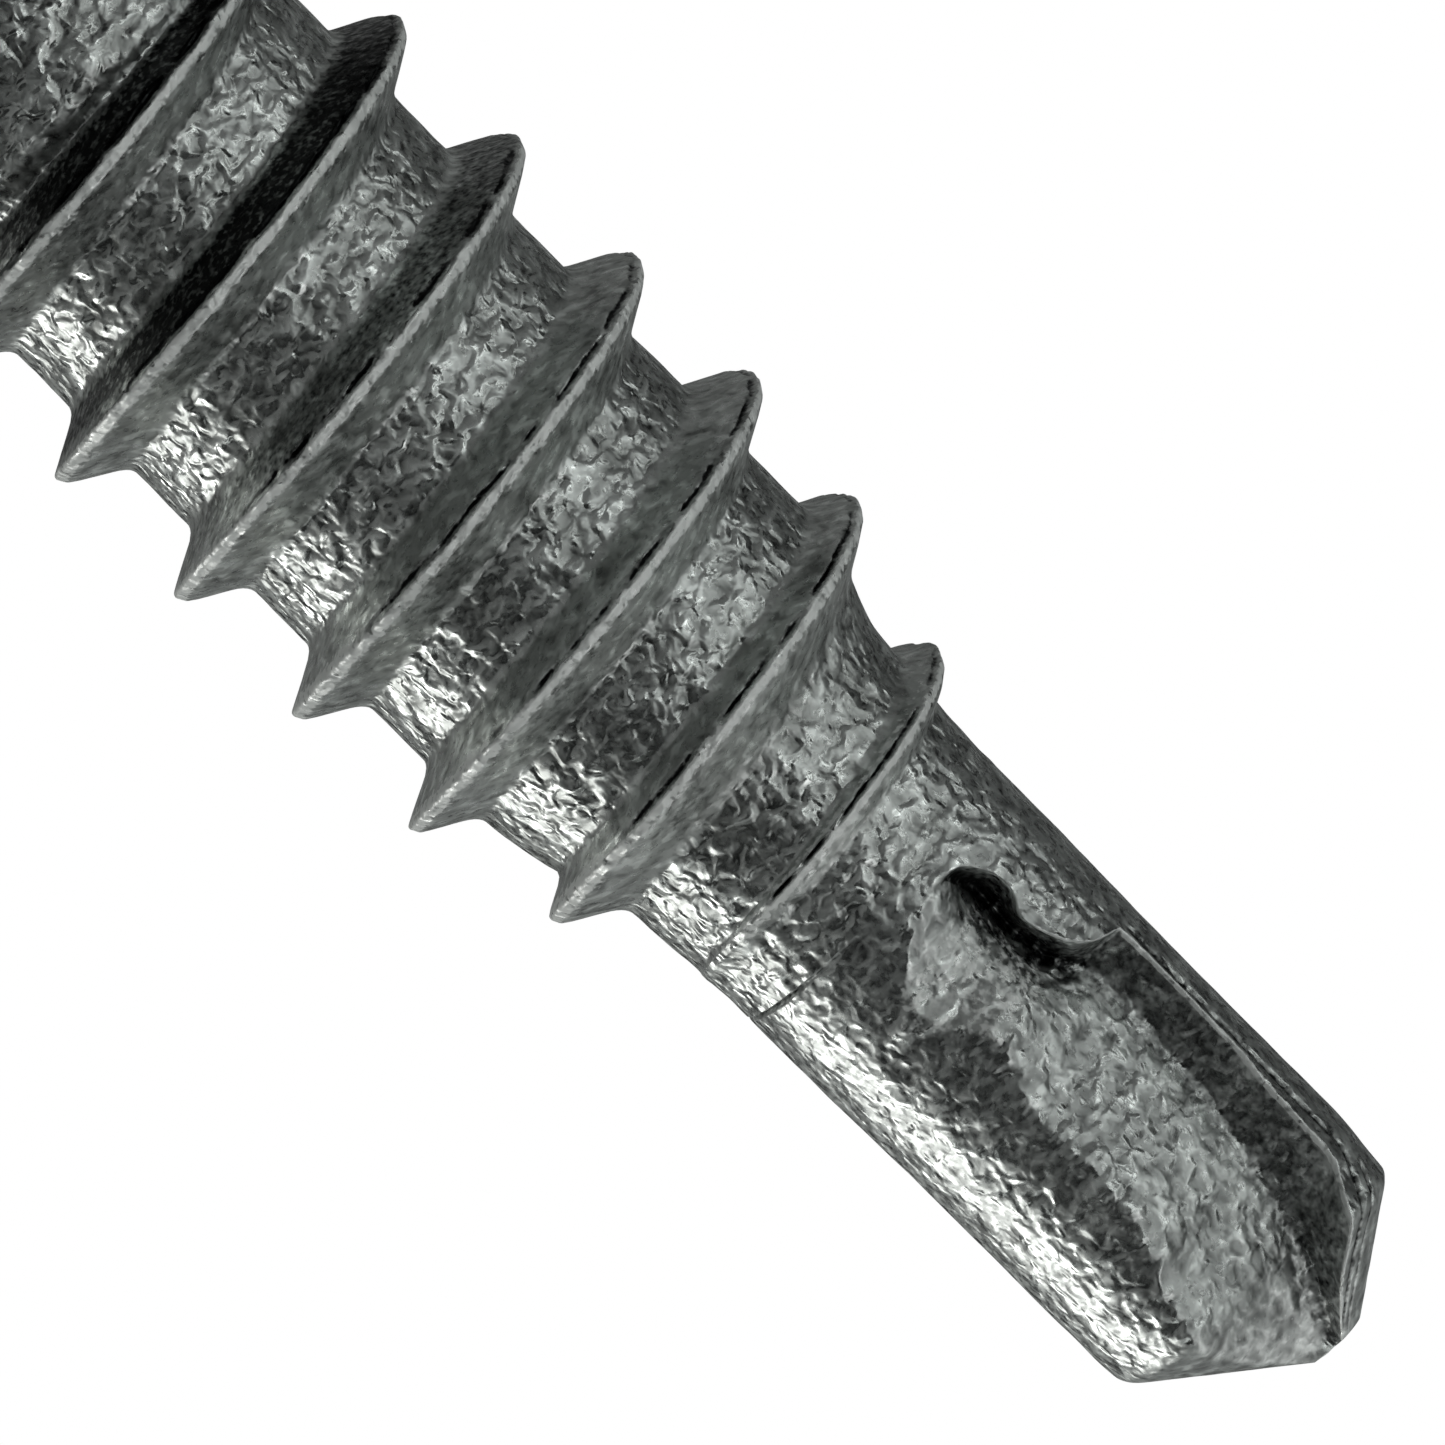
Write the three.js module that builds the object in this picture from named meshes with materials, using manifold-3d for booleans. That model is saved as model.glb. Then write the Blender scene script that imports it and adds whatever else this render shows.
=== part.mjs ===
// A self-drilling sealing screw, thread size ST6.3, 25 mm long under its hexagon washer head.
// It is four pieces: the headed and threaded shank, the drill point welded to its end, a cupped
// steel washer and a loose rubber sealing ring, which both float on the neck under the head.
// Millimetres. The screw stands on its head with its point up: the origin is the middle of the
// head's top face, and +Z runs along the screw towards the point.

import * as THREE from 'three';
import { mergeVertices } from 'three/addons/utils/BufferGeometryUtils.js';
import Module from 'manifold-3d';

// Lengths along the screw.
const HEAD_HEIGHT = 5.6;
const NOMINAL_LENGTH = 25;
const DRILL_LENGTH = 7.05;
const WASHER_THICKNESS = 1;
const SEAL_THICKNESS = 2.6;
const SLIDE_ROOM = 1.8;
const NECK_SPARE = 0.25;

// Thread ST6.3: right-handed, one start. THREAD_PHASE is where the crest passes the +X side.
const PITCH = 1.8;
const CREST_RADIUS = 3.045;
const CORE_RADIUS = 2.375;
const THREAD_PHASE = 10.61;
const STEPS_PER_TURN = 24;
const FIRST_STEP = 7;
const LAST_STEP = 167;

// Neck between the head and the thread.
const NECK_RADIUS = 2.65;
const NECK_FILLET = 0.3;

// Head.
const ACROSS_FLATS = 9.9;
const TOP_CHAMFER_RADIUS = 4.7;
const TOP_CHAMFER_ANGLE = Math.PI / 6;
const FLANGE_RADIUS = 6.5;
const FLANGE_RIM = 1;
const FLANGE_SLOPE = 0.55;
const EDGE = 0.12;
const DIMPLE_RADIUS = 3.2;
const DIMPLE_DEPTH = 0.55;

// Drill point.
const DRILL_RADIUS = 1.865;
const DRILL_CONE = 1.15;
const CHISEL_RADIUS = 0.28;
const FLUTE_HALF_OPENING = THREE.MathUtils.degToRad(35.5);
const FLUTE_STEPS = 16;

// Washer and seal.
const WASHER_RADIUS = 8;
const WASHER_HOLE = 3.3;
const CUP_START = 6;
const CUP_RISE = 0.5;
const SEAL_RADIUS = 7.55;
const SEAL_HOLE = 2.8;
const SEAL_TAPER = 0.3;
const CLEARANCE = 0.3;

const ROUND = 48;

// Heights that follow from the lengths.
const TIP_Z = HEAD_HEIGHT + NOMINAL_LENGTH;
const SEAM_Z = TIP_Z - DRILL_LENGTH;
const NECK_END_Z = HEAD_HEIGHT + WASHER_THICKNESS + SEAL_THICKNESS + SLIDE_ROOM + NECK_SPARE;

const wasm = await Module();
wasm.setup();

// A closed three.js geometry as a solid that can be joined and cut.
function solidOf(geometry) {
  const bare = geometry.clone();
  bare.deleteAttribute('normal');
  bare.deleteAttribute('uv');
  const merged = mergeVertices(bare, 1e-4);
  const corners = merged.index.array;
  const kept = [];
  for (let i = 0; i < corners.length; i += 3) {
    const [a, b, c] = corners.slice(i, i + 3);
    if (a !== b && b !== c && c !== a) kept.push(a, b, c);
  }
  const vertProperties = new Float32Array(merged.attributes.position.array);
  const triVerts = new Uint32Array(kept);
  return new wasm.Manifold(new wasm.Mesh({ numProp: 3, vertProperties, triVerts }));
}

function geometryOf(solid) {
  const mesh = solid.getMesh();
  const geometry = new THREE.BufferGeometry();
  geometry.setAttribute('position', new THREE.BufferAttribute(new Float32Array(mesh.vertProperties), 3));
  geometry.setIndex(new THREE.BufferAttribute(new Uint32Array(mesh.triVerts), 1));
  geometry.computeVertexNormals();
  return geometry;
}

// A body turned about Z from [radius, height] pairs, listed upwards on its outside.
function turned(profile, segments = ROUND) {
  const points = profile.map(([radius, height]) => new THREE.Vector2(radius, height));
  return new THREE.LatheGeometry(points, segments).rotateX(Math.PI / 2);
}

// Straight lines between [place, value] stations, level outside them.
function between(stations, place) {
  const next = stations.findIndex(([at]) => at > place);
  if (next === 0) return stations[0][1];
  if (next < 0) return stations.at(-1)[1];
  const [[from, low], [to, high]] = stations.slice(next - 1, next + 1);
  return low + ((high - low) * (place - from)) / (to - from);
}

// A path that carries its section in a frame set by a formula: outward at each point, and the
// section's second axis square to that and to the way the path runs.
class FramedPath extends THREE.Curve {
  constructor(pointAt, outwardAt, forwardAt) {
    super();
    this.pointAt = pointAt;
    this.outwardAt = outwardAt;
    this.forwardAt = forwardAt;
  }
  getPoint(t) {
    return this.pointAt(t);
  }
  getSpacedPoints(divisions) {
    return this.getPoints(divisions);
  }
  computeFrenetFrames(segments) {
    const places = Array.from({ length: segments + 1 }, (_, i) => i / segments);
    const tangents = places.map(this.forwardAt);
    const normals = places.map(this.outwardAt);
    const binormals = tangents.map((forward, i) => forward.clone().cross(normals[i]));
    return { tangents, normals, binormals };
  }
}

const radial = (angle) => new THREE.Vector3(Math.cos(angle), Math.sin(angle), 0);

// The crest's radius falls at both ends, so the ridge sinks into the neck and into the point.
function crestRadius(z) {
  return between([
    [NECK_END_Z - 0.1, NECK_RADIUS - 0.1],
    [NECK_END_Z + 0.8, CREST_RADIUS],
    [19.5, CREST_RADIUS],
    [20.5, 2.85],
    [21.3, 2.67],
    [22.2, 2.4],
    [23, 1.9],
  ], z);
}

// The ridge of the thread, in an axial section that hangs inwards from its crest line.
function threadRidge() {
  const section = new THREE.Shape([
    new THREE.Vector2(-0.9, -0.5),
    new THREE.Vector2(-0.05, -0.1),
    new THREE.Vector2(0, -0.04),
    new THREE.Vector2(0, 0.04),
    new THREE.Vector2(-0.05, 0.1),
    new THREE.Vector2(-0.9, 0.5),
  ]);
  const steps = LAST_STEP - FIRST_STEP;
  const angleAt = (t) => ((FIRST_STEP + t * steps) / STEPS_PER_TURN) * 2 * Math.PI;
  const pointAt = (t) => {
    const z = THREAD_PHASE + (PITCH * angleAt(t)) / (2 * Math.PI);
    return radial(angleAt(t)).multiplyScalar(crestRadius(z)).setZ(z);
  };
  const outwardAt = (t) => radial(angleAt(t));
  const forwardAt = (t) => radial(angleAt(t) + Math.PI / 2);
  const path = new FramedPath(pointAt, outwardAt, forwardAt);
  return new THREE.ExtrudeGeometry(section, { steps, extrudePath: path, bevelEnabled: false });
}

// Neck and core of the thread, from inside the head to the weld seam.
function shankCore() {
  return turned([
    [0, HEAD_HEIGHT - 1],
    [NECK_RADIUS + NECK_FILLET, HEAD_HEIGHT - 1],
    [NECK_RADIUS + NECK_FILLET, HEAD_HEIGHT],
    [NECK_RADIUS + 0.3 * NECK_FILLET, HEAD_HEIGHT + 0.3 * NECK_FILLET],
    [NECK_RADIUS, HEAD_HEIGHT + NECK_FILLET],
    [NECK_RADIUS, NECK_END_Z],
    [CORE_RADIUS, NECK_END_Z + 0.4],
    [CORE_RADIUS, 20.1],
    [2.28, 20.9],
    [2.02, 21.7],
    [1.96, 22.8],
    [DRILL_RADIUS + 0.05, SEAM_Z - 0.1],
    [DRILL_RADIUS, SEAM_Z],
    [0, SEAM_Z],
  ], STEPS_PER_TURN);
}

// Hexagon with its top corners chamfered, a round flange with a sloping back, and a shallow
// forging dimple in the top face.
function head() {
  const cornerRadius = ACROSS_FLATS / Math.sqrt(3);
  const hexagon = new THREE.CylinderGeometry(cornerRadius, cornerRadius, HEAD_HEIGHT, 6)
    .rotateX(Math.PI / 2)
    .translate(0, 0, HEAD_HEIGHT / 2);
  const outside = FLANGE_RADIUS + 1;
  const chamfered = turned([
    [0, 0],
    [TOP_CHAMFER_RADIUS, 0],
    [outside, (outside - TOP_CHAMFER_RADIUS) * Math.tan(TOP_CHAMFER_ANGLE)],
    [outside, HEAD_HEIGHT - EDGE],
    [0, HEAD_HEIGHT - EDGE],
  ]);
  const flange = turned([
    [0, HEAD_HEIGHT - FLANGE_RIM - FLANGE_SLOPE],
    [ACROSS_FLATS / 2, HEAD_HEIGHT - FLANGE_RIM - FLANGE_SLOPE],
    [FLANGE_RADIUS - EDGE, HEAD_HEIGHT - FLANGE_RIM],
    [FLANGE_RADIUS, HEAD_HEIGHT - FLANGE_RIM + EDGE],
    [FLANGE_RADIUS, HEAD_HEIGHT - EDGE],
    [FLANGE_RADIUS - EDGE, HEAD_HEIGHT],
    [0, HEAD_HEIGHT],
  ]);
  const dimple = turned([
    [0, -EDGE],
    [DIMPLE_RADIUS + EDGE, -EDGE],
    [DIMPLE_RADIUS + EDGE, 0],
    [0.8 * DIMPLE_RADIUS, DIMPLE_DEPTH],
    [0, DIMPLE_DEPTH],
  ]);
  return solidOf(hexagon)
    .intersect(solidOf(chamfered))
    .add(solidOf(flange))
    .subtract(solidOf(dimple));
}

// One flute's cutter: a wedge whose valley runs up the point. Its steep side makes the cutting
// face, which meets the land at the cutting edge, and its other side slopes back gently.
function fluteCutter() {
  const valley = new THREE.Vector2(0.64, -0.53);
  const cuttingEdge = new THREE.Vector2(
    DRILL_RADIUS * Math.cos(FLUTE_HALF_OPENING),
    -DRILL_RADIUS * Math.sin(FLUTE_HALF_OPENING),
  );
  const heel = new THREE.Vector2(cuttingEdge.x, -cuttingEdge.y);
  const beyond = 1.6;
  const rounding = 0.22;
  const near = (corner, share) => corner.clone().sub(valley).multiplyScalar(share);
  const section = new THREE.Shape();
  section.moveTo(...near(cuttingEdge, beyond));
  section.lineTo(...near(heel, beyond));
  section.lineTo(...near(heel, rounding));
  section.quadraticCurveTo(0, 0, ...near(cuttingEdge, rounding));
  section.closePath();
  const start = 0.42;
  const end = DRILL_LENGTH + 0.3;
  // How far the valley lies from the axis: outside the point where the flute starts, then at its
  // full depth, and closing on the axis at the tip, where the two flutes leave a chisel edge.
  const depthShare = (z) => between([
    [start, 2.7],
    [1.1, 1.25],
    [2, 1],
    [5.4, 1],
    [6.2, 0.62],
    [6.9, 0.2],
  ], z);
  const turn = (z) => THREE.MathUtils.degToRad(between([[0.4, 249], [3.5, 245], [4.9, 254], [6.6, 264]], z));
  const zAt = (t) => start + t * (end - start);
  const outwardAt = (t) => radial(turn(zAt(t)));
  const pointAt = (t) => {
    const z = zAt(t);
    const outward = outwardAt(t).multiplyScalar(valley.x * depthShare(z));
    const sideways = radial(turn(z) + Math.PI / 2).multiplyScalar(valley.y * Math.min(1, depthShare(z)));
    return outward.add(sideways).setZ(z);
  };
  const forwardAt = () => new THREE.Vector3(0, 0, 1);
  const path = new FramedPath(pointAt, outwardAt, forwardAt);
  return new THREE.ExtrudeGeometry(section, {
    steps: FLUTE_STEPS,
    extrudePath: path,
    bevelEnabled: false,
    curveSegments: 2,
  });
}

// The drill point from its weld seam at z = 0: a straight body, a cone and two flutes.
function drillPoint() {
  const blank = turned([
    [0, 0],
    [DRILL_RADIUS, 0],
    [DRILL_RADIUS, DRILL_LENGTH - DRILL_CONE],
    [CHISEL_RADIUS, DRILL_LENGTH - 0.1],
    [0, DRILL_LENGTH],
  ], STEPS_PER_TURN);
  const cutter = fluteCutter();
  return solidOf(blank)
    .subtract(solidOf(cutter))
    .subtract(solidOf(cutter.clone().rotateZ(Math.PI)));
}

// The steel washer from its head-side face at z = 0: flat in the middle, its rim cupped upwards.
function cupWasher() {
  return turned([
    [WASHER_HOLE, WASHER_THICKNESS],
    [WASHER_HOLE, 0],
    [CUP_START, 0],
    [WASHER_RADIUS - EDGE, CUP_RISE],
    [WASHER_RADIUS, CUP_RISE + EDGE],
    [WASHER_RADIUS, CUP_RISE + WASHER_THICKNESS - EDGE],
    [WASHER_RADIUS - EDGE, CUP_RISE + WASHER_THICKNESS],
    [CUP_START, WASHER_THICKNESS],
    [WASHER_HOLE, WASHER_THICKNESS],
  ]);
}

// The sealing ring from its washer-side face at z = 0. Its back clears the washer's cupped rim.
function sealingRing() {
  const cupSlope = CUP_RISE / (WASHER_RADIUS - EDGE - CUP_START);
  return turned([
    [SEAL_HOLE, SEAL_THICKNESS],
    [SEAL_HOLE, 0],
    [CUP_START - CLEARANCE, 0],
    [SEAL_RADIUS - EDGE, (SEAL_RADIUS - CUP_START) * cupSlope + CLEARANCE],
    [SEAL_RADIUS, (SEAL_RADIUS - CUP_START) * cupSlope + CLEARANCE + EDGE],
    [SEAL_RADIUS - SEAL_TAPER, SEAL_THICKNESS - EDGE],
    [SEAL_RADIUS - SEAL_TAPER - EDGE, SEAL_THICKNESS],
    [SEAL_HOLE, SEAL_THICKNESS],
  ]);
}

function part(name, geometry, color, roughness, metalness) {
  const mesh = new THREE.Mesh(geometry, new THREE.MeshStandardMaterial({ color, roughness, metalness }));
  mesh.name = name;
  return mesh;
}

const shank = head().add(solidOf(shankCore())).add(solidOf(threadRidge()));

const point = part('drill_point', geometryOf(drillPoint()), 0x6d7274, 0.34, 1);
point.position.z = SEAM_Z;

const seal = part('sealing_ring', sealingRing(), 0x1b1b1c, 0.82, 0);
seal.position.z = WASHER_THICKNESS;

const washers = new THREE.Group();
washers.position.z = HEAD_HEIGHT;
washers.add(part('cup_washer', cupWasher(), 0x8d9293, 0.42, 1), seal);

const group = new THREE.Group();
group.add(part('headed_shank', geometryOf(shank), 0x646a6b, 0.38, 1), point, washers);

export default group;
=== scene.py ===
"""Looks of a self-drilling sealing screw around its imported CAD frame.

The screw stands on its head with its point up, +Z along the screw. Lengths in this script are
millimetres, and mesh_piece() turns them into metres. Angles round the screw are from +X unless
a comment says otherwise.
"""

import math

import bmesh
import bpy
import numpy as np
from mathutils import Matrix, Vector, noise


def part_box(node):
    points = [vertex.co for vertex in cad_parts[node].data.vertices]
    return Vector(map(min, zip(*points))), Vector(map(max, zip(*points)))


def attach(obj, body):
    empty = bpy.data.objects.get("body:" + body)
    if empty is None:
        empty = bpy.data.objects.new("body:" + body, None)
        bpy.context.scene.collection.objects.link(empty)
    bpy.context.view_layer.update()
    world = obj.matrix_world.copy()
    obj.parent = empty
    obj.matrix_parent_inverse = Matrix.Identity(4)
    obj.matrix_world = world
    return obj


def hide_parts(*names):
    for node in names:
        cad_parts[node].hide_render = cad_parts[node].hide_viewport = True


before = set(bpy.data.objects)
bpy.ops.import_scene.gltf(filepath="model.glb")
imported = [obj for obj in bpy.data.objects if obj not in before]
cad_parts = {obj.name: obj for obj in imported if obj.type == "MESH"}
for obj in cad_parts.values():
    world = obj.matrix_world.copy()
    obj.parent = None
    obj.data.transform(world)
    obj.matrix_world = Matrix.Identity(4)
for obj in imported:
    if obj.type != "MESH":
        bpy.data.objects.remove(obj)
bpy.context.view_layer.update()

MM = 0.001


def node_box(node):
    """A CAD node's lowest and highest corners, in millimetres."""
    low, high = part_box(node)
    return np.array(low) / MM, np.array(high) / MM


# Sizes that the frame gives.
SHANK_HIGH = node_box("headed_shank")[1]
POINT_LOW, POINT_HIGH = node_box("drill_point")
WASHER_LOW, WASHER_HIGH = node_box("cup_washer")
SEAL_HIGH = node_box("sealing_ring")[1]
SEAM_Z = POINT_LOW[2]
TIP_Z = POINT_HIGH[2]
FLANGE_RADIUS = SHANK_HIGH[1]
HEAD_HEIGHT = WASHER_LOW[2]
WASHER_RADIUS = WASHER_HIGH[0]
SEAL_RADIUS = SEAL_HIGH[0]

# Thread ST6.3. THREAD_PHASE is where the crest passes the +X side.
PITCH = 1.8
THREAD_PHASE = 10.61
CREST_RADIUS = 3.045
CORE_RADIUS = 2.4
NECK_RADIUS = 2.65
NECK_END_Z = 11.25
NECK_FILLET = 0.3
DRILL_RADIUS = 1.865
SEAM_RADIUS = 1.9

# Head.
ACROSS_FLATS = 9.9
CHAMFER_RADIUS = 4.7
CHAMFER_SLOPE = math.sqrt(3)
FLANGE_RIM = 1.0
FLANGE_SLOPE = 0.55
RIM_EDGE = 0.14
HEXAGON_ROUND, RIM_ROUND, FLANGE_ROUND = 0.12, 0.16, 0.3
DIMPLE_RADIUS = 3.2
DIMPLE_DEPTH = 0.55

# Washer and seal.
WASHER_HOLE = 3.3
WASHER_THICKNESS = 1.0
CUP_START = 6.0
CUP_RISE = 0.5
SEAL_HOLE = 2.8
SEAL_THICKNESS = 2.6
SEAL_TAPER = 0.3

# Meshes.
AROUND = 240
WASHER_AROUND = 288
SHARP_ANGLE = math.radians(55)
WELD_DISTANCE = 0.0002 * MM
TURN = 2 * math.pi


# ---------------------------------------------------------------- small maths

def along(stations, at):
    """A smooth curve through (place, value) stations that never overshoots them, level outside."""
    place, value = np.array(stations, float).T
    rise = np.diff(value) / np.diff(place)
    slope = np.zeros_like(value)
    both = rise[1:] * rise[:-1] > 0
    total = np.where(both, rise[1:] + rise[:-1], 1)
    slope[1:-1] = np.where(both, 2 * rise[1:] * rise[:-1] / total, 0)
    at = np.clip(at, place[0], place[-1])
    i = np.clip(np.searchsorted(place, at, side="right") - 1, 0, len(place) - 2)
    width = place[i + 1] - place[i]
    s = (at - place[i]) / width
    left = (2 * s**3 - 3 * s**2 + 1) * value[i] + (s**3 - 2 * s**2 + s) * width * slope[i]
    right = (3 * s**2 - 2 * s**3) * value[i + 1] + (s**3 - s**2) * width * slope[i + 1]
    return left + right


def smooth_min(a, b, width):
    """The smaller of two values, with a round join about width wide."""
    h = np.clip(0.5 + 0.5 * (b - a) / width, 0, 1)
    return b * (1 - h) + a * h - width * h * (1 - h)


def smooth_max(a, b, width):
    return -smooth_min(-a, -b, width)


def smooth_step(low, high, at):
    s = np.clip((at - low) / (high - low), 0, 1)
    return s * s * (3 - 2 * s)


def stepped(spans):
    """Places through (low, high, count) spans. Each span leaves its high end to the next."""
    parts = [np.linspace(low, high, count, endpoint=False) for low, high, count in spans]
    return np.concatenate(parts)


def rough(points, size, seed=0.0):
    """Smooth noise, about -1 to 1, with bumps of this size, at rows of x, y, z."""
    scaled = points / size + seed
    return np.array([noise.noise(Vector(p)) for p in scaled])


# ---------------------------------------------------------------- meshes

def mesh_piece(name, points, faces, body, node, material, wear_and_painted_light=None):
    """A closed smooth mesh from points in millimetres. It stands for a CAD node. The last argument
    gives each point's tone: above zero how bright, from rubbed wear and painted highlights, and
    below zero how dark, from painted shade and the seam's dark joint."""
    mesh = bpy.data.meshes.new(name)
    mesh.from_pydata([tuple(p) for p in np.asarray(points) * MM], [], faces)
    if wear_and_painted_light is not None:
        # this attribute carries painted highlights and painted shade as well as wear
        layer = mesh.attributes.new("wear_and_painted_light", "FLOAT", "POINT")
        layer.data.foreach_set("value", np.asarray(wear_and_painted_light, np.float32))
    piece = bpy.data.objects.new(name, mesh)
    bpy.context.collection.objects.link(piece)
    weld(mesh)
    mesh.shade_smooth()
    mesh.set_sharp_from_angle(angle=SHARP_ANGLE)
    mesh.materials.append(material)
    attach(piece, body)
    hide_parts(node)
    return piece


def weld(mesh):
    """Joins points that fall on each other and turns the faces outwards."""
    work = bmesh.new()
    work.from_mesh(mesh)
    bmesh.ops.remove_doubles(work, verts=work.verts, dist=WELD_DISTANCE)
    bmesh.ops.dissolve_degenerate(work, edges=work.edges, dist=WELD_DISTANCE / 20)
    bmesh.ops.recalc_face_normals(work, faces=work.faces)
    work.to_mesh(mesh)
    work.free()


def ring_faces(rows, columns, first=0):
    """Quads between stacked rings of points."""
    faces = []
    for row in range(rows - 1):
        a = first + row * columns
        for i in range(columns):
            j = (i + 1) % columns
            faces.append((a + i, a + j, a + columns + j, a + columns + i))
    return faces


def revolve(profile, columns=AROUND, closed=False):
    """Rings of points from rows of radius and height; radius may be an array round the ring."""
    angle = np.arange(columns) * TURN / columns
    rings = []
    for radius, height in profile:
        radius = np.broadcast_to(radius, angle.shape)
        height = np.broadcast_to(height, angle.shape)
        rings.append(np.stack([radius * np.cos(angle), radius * np.sin(angle), height], 1))
    points = np.concatenate(rings)
    faces = ring_faces(len(rings), columns)
    if closed:
        last = (len(rings) - 1) * columns
        for i in range(columns):
            j = (i + 1) % columns
            faces.append((last + i, last + j, j, i))
    return points, faces


def rounded(corners, radius, steps=5):
    """A closed outline of (radius, height) corners, each rounded by a short curve."""
    corners = [np.array(c, float) for c in corners]
    outline = []
    for k, corner in enumerate(corners):
        before = corners[k - 1] - corner
        after = corners[(k + 1) % len(corners)] - corner
        start = corner + before / np.linalg.norm(before) * min(radius, np.linalg.norm(before) / 2.2)
        end = corner + after / np.linalg.norm(after) * min(radius, np.linalg.norm(after) / 2.2)
        for s in np.linspace(0, 1, steps):
            outline.append((1 - s) ** 2 * start + 2 * s * (1 - s) * corner + s**2 * end)
    return outline


def filled(outline, spacing):
    """A closed outline with points added, so that no step is longer than spacing."""
    dense = []
    for k, start in enumerate(outline):
        end = outline[(k + 1) % len(outline)]
        count = max(1, math.ceil(np.linalg.norm(end - start) / spacing))
        dense += [start + (end - start) * s / count for s in range(count)]
    return dense


# ---------------------------------------------------------------- threaded shank

CREST_LINE = [
    (11.1, 2.5), (12.0, CREST_RADIUS), (19.5, CREST_RADIUS), (20.5, 2.87),
    (21.3, 2.69), (22.2, 2.4), (22.76, 2.12), (22.95, 2.02), (23.15, 1.93), (23.4, 1.85),
]
CORE_LINE = [
    (5.9, NECK_RADIUS), (NECK_END_Z, NECK_RADIUS), (NECK_END_Z + 0.5, CORE_RADIUS),
    (20.1, CORE_RADIUS), (20.9, 2.28), (21.7, 2.01), (22.3, 1.965), (22.9, 1.93), (23.4, 1.91),
    (SEAM_Z, SEAM_RADIUS),
]
HEAD_FLANK = 0.52
TIP_FLANK = 0.59
CREST_HEAD_FLAT = 0.05
CREST_TIP_FLAT = 0.08
CREST_BEVEL = 0.5
CREST_ROUND = 0.04
ROOT_ROUND = 0.17
SHARPER_ROOT = 0.11
# The mesh is rings below this height and rows along the helix above it.
HELIX_START_Z = 10.9


def run_out_lead(h):
    """How far the crest falls behind its helix where the thread runs out."""
    early = 0.08 * smooth_step(18.7, 20.2, h)
    return early + 0.02 * smooth_step(20.8, 22.3, h) + 0.13 * smooth_step(22.4, 23.1, h)


def from_crest(angle, h):
    """Distance along the screw from the nearest crest, positive towards the point."""
    offset = h - THREAD_PHASE - PITCH * angle / TURN
    return (offset + PITCH / 2) % PITCH - PITCH / 2


def shank_radius(angle, h):
    """The neck, the core and the thread's ridge, before wear."""
    t = from_crest(angle, h)
    crest = along(CREST_LINE, h - t)
    core = along(CORE_LINE, h)
    slope = np.where(t < 0, 1 / HEAD_FLANK, 1 / TIP_FLANK)
    low = smooth_step(22.3, 22.9, h)
    flat = np.where(t < 0, CREST_HEAD_FLAT, CREST_TIP_FLAT)
    flank = crest - (np.abs(t) - flat - 0.05 * low) * slope
    bevel = crest - np.clip(t, 0, 1) * CREST_BEVEL
    ridge = smooth_min(bevel, flank, CREST_ROUND)
    return smooth_max(core, ridge, ROOT_ROUND - SHARPER_ROOT * low)


def above_core(points, h):
    """From 0 on the core to 1 on a full ridge."""
    return np.clip((np.hypot(points[:, 0], points[:, 1]) - along(CORE_LINE, h)) / 0.12, 0, 1)


def lap_closed(angle):
    """1 on the +X side, where rolling closed the lap, and 0 elsewhere."""
    return smooth_step(0.4, 0.7, np.cos(angle))


def crest_lap(points, angle, h):
    """The lap that rolling leaves beside the crest, from 0 to 1. It closes on the +X side."""
    t = from_crest(angle, h) - 0.02 * rough(points, 0.5, 21.0) - 0.012 * rough(points, 0.12, 2.5)
    opening = smooth_step(-0.45, 0.15, rough(points, 0.35, 5.5)) * (1 - 0.9 * lap_closed(angle))
    return np.exp(-(((t + 0.055) / 0.028) ** 2)) * above_core(points, h) * opening


def shank_wear(points, angle, h):
    """Uneven rolling: waves and dings everywhere, nicks and a lap groove on the crest."""
    t = from_crest(angle, h)
    wear = 0.012 * rough(points, 0.8) + 0.009 * rough(points, 0.3, 7.3)
    wear -= 0.016 * np.clip(rough(points, 0.26, 3.1) - 0.2, 0, 1)
    wear += 0.02 * np.exp(-((t / 0.1) ** 2)) * above_core(points, h) * rough(points, 0.22, 11.0)
    wear -= 0.08 * crest_lap(points, angle, h)
    return wear * smooth_step(SEAM_Z, SEAM_Z - 0.1, points[:, 2])


# Strengths of the crest's rubbed wear with its painted highlight, of the painted shade on the
# head-side flanks and of the painted shade in the laps.
RUBBED_AND_HIGHLIGHT, HEAD_FLANK_SHADE, LAP_SHADE = 0.85, 1.1, 1.6


def shank_wear_and_painted_light(points, angle, h):
    """Bright where the crest is rubbed and carries a painted highlight, and where the last ridge
    was pressed flat. Black with painted shade in the laps, and dark with painted shade on the head
    side of the first turns, nearest the seal."""
    t = from_crest(angle, h)
    ragged = t + 0.03 * rough(points, 0.12, 31.0)
    start = -0.03 - 0.08 * lap_closed(angle)
    # rubbed wear with a painted highlight along the crest, for the light its rounded edge catches
    rubbed_and_highlight = smooth_step(start - 0.05, start + 0.03, ragged) * smooth_step(0.15, 0.05, ragged)
    run_out = smooth_step(22.2, 22.6, h) * smooth_step(23.3, 23.0, h)
    pressed = np.exp(-(((t + 0.12) / 0.035) ** 2)) * run_out
    # painted shade on the head-side flanks of the first turns, darkest nearest the washer and seal
    head_flank_shade_mask = smooth_step(-0.04, -0.08, t) * smooth_step(-0.62, -0.5, t) * smooth_step(17.2, 13.6, h)
    wear_and_painted_light = RUBBED_AND_HIGHLIGHT * rubbed_and_highlight + pressed - HEAD_FLANK_SHADE * head_flank_shade_mask
    # painted shade, black, in the lap grooves beside the crest
    return wear_and_painted_light * above_core(points, h) - LAP_SHADE * crest_lap(points, angle, h)


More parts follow.
